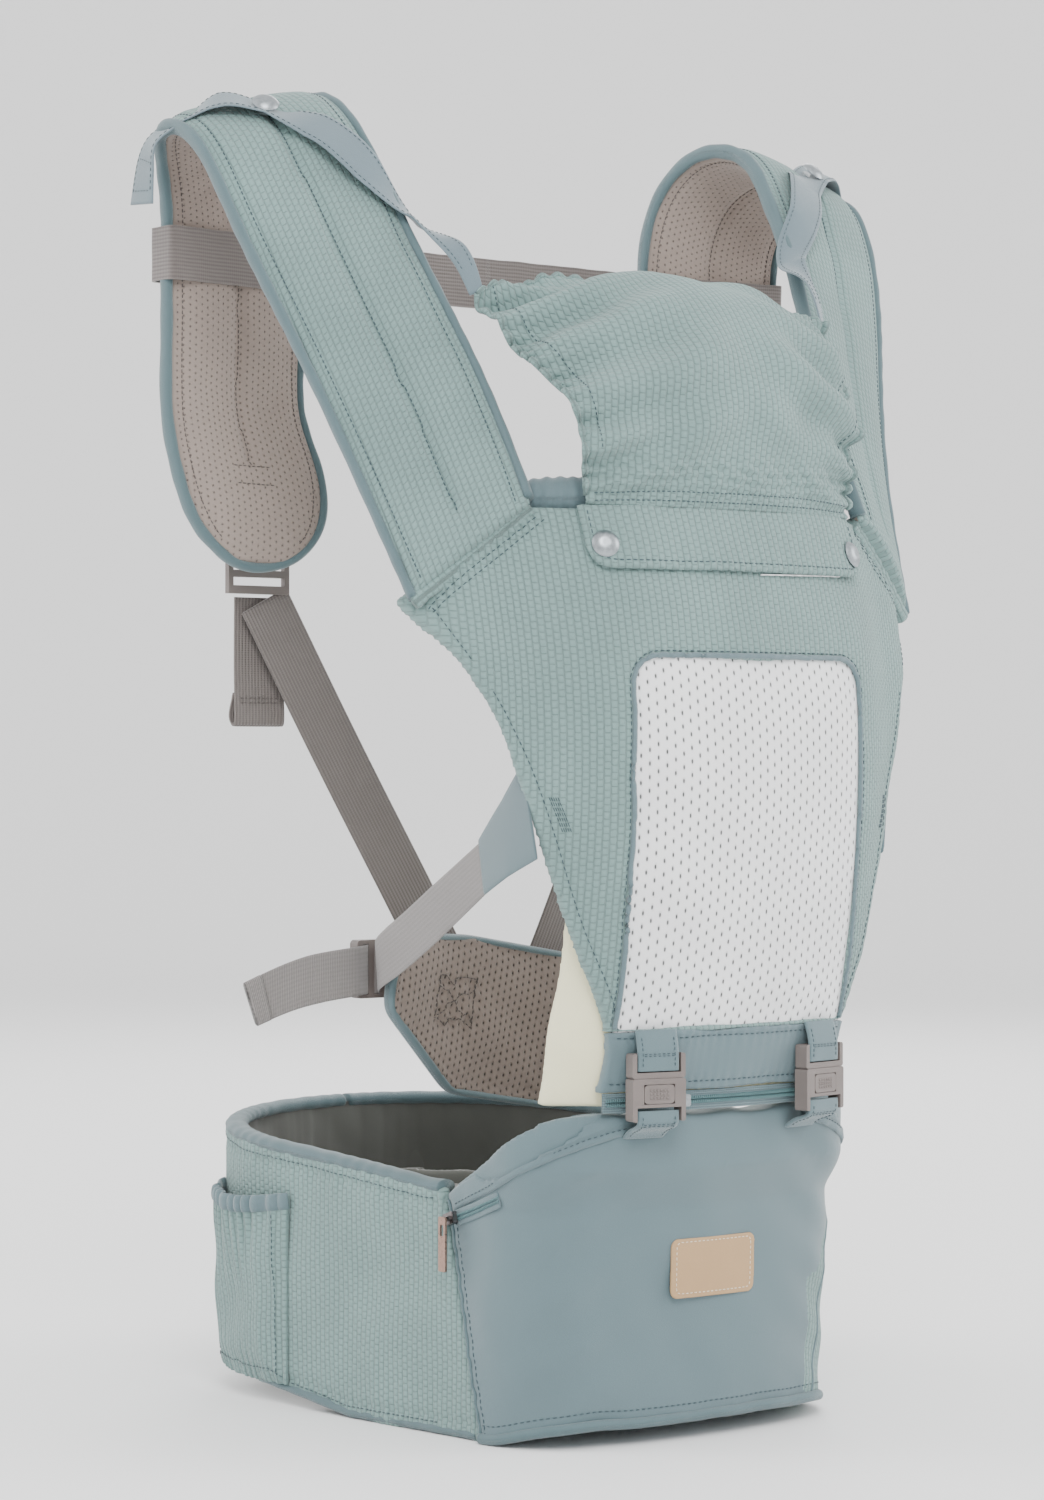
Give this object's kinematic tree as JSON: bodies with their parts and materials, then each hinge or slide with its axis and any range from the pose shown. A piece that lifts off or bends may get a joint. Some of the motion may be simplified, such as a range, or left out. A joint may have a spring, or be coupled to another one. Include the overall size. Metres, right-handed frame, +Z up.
{
  "type": "soft baby carrier",
  "caption": "Hip seat baby carrier: padded shoulder straps, mesh front panel with a fold-over hood, lumbar pad with buckled webbing and a wide waist belt with a foam seat.",
  "frame": {"origin": "on the floor plane under the middle of the whole carrier, in its left-right symmetry plane", "axes": "+Z up, +X to the right when seen from the front (the child side), +Y from the child side towards the wearer's back"},
  "size_m": [0.567, 0.4883, 0.8477],
  "materials": {
    "teal_knit": "ribbed knit",
    "teal_twill": "twill weave",
    "white_mesh": "slit spacer mesh",
    "cream_lining": "smooth brushed",
    "dark_lining": "plain weave",
    "hook_loop": "hook and loop pile",
    "foam": "moulded foam",
    "taupe_mesh": "perforated spacer mesh",
    "teal_tab": "plain weave",
    "taupe_webbing": "ribbed webbing",
    "light_webbing": "ribbed webbing",
    "taupe_plastic": "satin moulded",
    "zip_tape": "herringbone tape and coil",
    "slider_metal": "gunmetal plate",
    "pull_metal": "rose gold plate",
    "patch_leather": "smooth grain",
    "snap_metal": "satin plate"
  },
  "bodies": {
    "carrier": {"front_panel": "teal_knit", "shoulder_pad_left": "teal_knit", "shoulder_pad_right": "teal_knit", "panel_base_band": "teal_twill", "belt_wing_left": "teal_twill", "belt_wing_right": "teal_twill", "seat_cover": "teal_twill", "hood_flap": "teal_twill", "belt_pocket": "teal_twill", "collar": "teal_twill", "mesh_window": "white_mesh", "leg_guard": "cream_lining", "belt_lining": "dark_lining", "belt_front_panel": "dark_lining", "seat_top_pad": "dark_lining", "hook_and_loop": "hook_loop", "seat_core": "foam", "lumbar_pad": "taupe_mesh", "side_tabs": "teal_tab", "back_webbing": "taupe_webbing", "panel_buckle_tabs": "taupe_webbing", "seat_buckle_tabs": "taupe_webbing", "side_webbing_left": "light_webbing", "side_webbing_right": "light_webbing", "waist_webbing": "light_webbing", "strap_adjusters": "taupe_plastic", "push_buckle_housings": "taupe_plastic", "push_buckle_tongues": "taupe_plastic", "left_buckle_socket": "taupe_plastic", "left_buckle_plug": "taupe_plastic", "right_buckle_socket": "taupe_plastic", "right_buckle_plug": "taupe_plastic", "waist_buckle_socket": "taupe_plastic", "waist_buckle_plug": "taupe_plastic", "join_zipper_chain": "zip_tape", "pocket_zipper_chain": "zip_tape", "leather_patch": "patch_leather", "snap_caps_lower": "snap_metal", "snap_studs": "snap_metal"},
    "hood": {"hood": "teal_twill", "hood_straps": "teal_twill", "snap_caps_upper": "snap_metal"},
    "left_button": {"push_button_left": "taupe_plastic"},
    "right_button": {"push_button_right": "taupe_plastic"},
    "join_slider": {"join_zipper_slider": "slider_metal"},
    "pocket_slider": {"pocket_zipper_slider": "slider_metal"},
    "pocket_pull": {"pocket_zipper_pull": "pull_metal"},
    "chest_belt": {"chest_strap": "taupe_webbing", "chest_buckle_socket": "taupe_plastic", "chest_buckle_plug": "taupe_plastic"},
    "left_tail": {"hanging_tail_left": "taupe_webbing"},
    "right_tail": {"hanging_tail_right": "taupe_webbing"},
    "left_arm_upper": {"left_buckle_arm_upper": "taupe_plastic"},
    "left_arm_lower": {"left_buckle_arm_lower": "taupe_plastic"},
    "right_arm_upper": {"right_buckle_arm_upper": "taupe_plastic"},
    "right_arm_lower": {"right_buckle_arm_lower": "taupe_plastic"},
    "chest_arm_upper": {"chest_buckle_arm_upper": "taupe_plastic"},
    "chest_arm_lower": {"chest_buckle_arm_lower": "taupe_plastic"},
    "waist_arm_upper": {"waist_buckle_arm_upper": "taupe_plastic"},
    "waist_arm_lower": {"waist_buckle_arm_lower": "taupe_plastic"}
  },
  "joints": [
    {"name": "hood_fold", "type": "hinge", "parent": "carrier", "child": "hood", "pos_m": [0, -0.217, 0.5735], "axis": [1, 0, 0], "range_deg": [0, 115]},
    {"name": "left_button_press", "type": "slide", "parent": "carrier", "child": "left_button", "axis": [0.1806, 0.9836, 0], "range_m": [0, 0.0016], "stiffness_N_per_m": 300},
    {"name": "right_button_press", "type": "slide", "parent": "carrier", "child": "right_button", "axis": [-0.1806, 0.9836, 0], "range_m": [0, 0.0016], "stiffness_N_per_m": 300},
    {"name": "left_buckle_arm_upper_flex", "type": "hinge", "parent": "carrier", "child": "left_arm_upper", "pos_m": [-0.0961, 0.031, 0.296], "axis": [0, 1, 0], "range_deg": [0, 9], "stiffness_Nm_per_rad": 0.06},
    {"name": "left_buckle_arm_lower_flex", "type": "hinge", "parent": "carrier", "child": "left_arm_lower", "pos_m": [-0.0961, 0.031, 0.272], "axis": [0, -1, 0], "range_deg": [0, 9], "stiffness_Nm_per_rad": 0.06},
    {"name": "right_buckle_arm_upper_flex", "type": "hinge", "parent": "carrier", "child": "right_arm_upper", "pos_m": [0.0961, 0.031, 0.25], "axis": [0, -1, 0], "range_deg": [0, 9], "stiffness_Nm_per_rad": 0.06},
    {"name": "right_buckle_arm_lower_flex", "type": "hinge", "parent": "carrier", "child": "right_arm_lower", "pos_m": [0.0961, 0.031, 0.226], "axis": [0, 1, 0], "range_deg": [0, 9], "stiffness_Nm_per_rad": 0.06},
    {"name": "chest_buckle_arm_upper_flex", "type": "hinge", "parent": "chest_belt", "child": "chest_arm_upper", "pos_m": [-0.0939, 0.05, 0.754], "axis": [0, -1, 0], "range_deg": [0, 9], "stiffness_Nm_per_rad": 0.06},
    {"name": "chest_buckle_arm_lower_flex", "type": "hinge", "parent": "chest_belt", "child": "chest_arm_lower", "pos_m": [-0.0939, 0.05, 0.73], "axis": [0, 1, 0], "range_deg": [0, 9], "stiffness_Nm_per_rad": 0.06},
    {"name": "waist_buckle_arm_upper_flex", "type": "hinge", "parent": "carrier", "child": "waist_arm_upper", "pos_m": [-0.0069, 0.2428, 0.116], "axis": [0, -1, 0], "range_deg": [0, 9], "stiffness_Nm_per_rad": 0.06},
    {"name": "waist_buckle_arm_lower_flex", "type": "hinge", "parent": "carrier", "child": "waist_arm_lower", "pos_m": [-0.0069, 0.2428, 0.092], "axis": [0, 1, 0], "range_deg": [0, 9], "stiffness_Nm_per_rad": 0.06},
    {"name": "join_zip_run", "type": "hinge", "parent": "carrier", "child": "join_slider", "pos_m": [0, 0.151, 0.2125], "axis": [0, 0, 1], "range_deg": [0, 12.4]},
    {"name": "pocket_zip_run", "type": "slide", "parent": "carrier", "child": "pocket_slider", "axis": [0, -0.9442, 0.3294], "range_m": [0, 0.04]},
    {"name": "pocket_pull_swing", "type": "hinge", "parent": "pocket_slider", "child": "pocket_pull", "pos_m": [-0.14, -0.099, 0.136], "axis": [0, 1, 0], "range_deg": [0, 80]},
    {"name": "chest_belt_slide", "type": "slide", "parent": "carrier", "child": "chest_belt", "axis": [0, 0, 1], "range_m": [-0.08, 0.012]},
    {"name": "left_tail_swing", "type": "hinge", "parent": "carrier", "child": "left_tail", "pos_m": [-0.171, 0.066, 0.526], "axis": [1, 0, 0], "range_deg": [0, 70]},
    {"name": "right_tail_swing", "type": "hinge", "parent": "carrier", "child": "right_tail", "pos_m": [0.171, 0.066, 0.526], "axis": [1, 0, 0], "range_deg": [0, 70]}
  ]
}
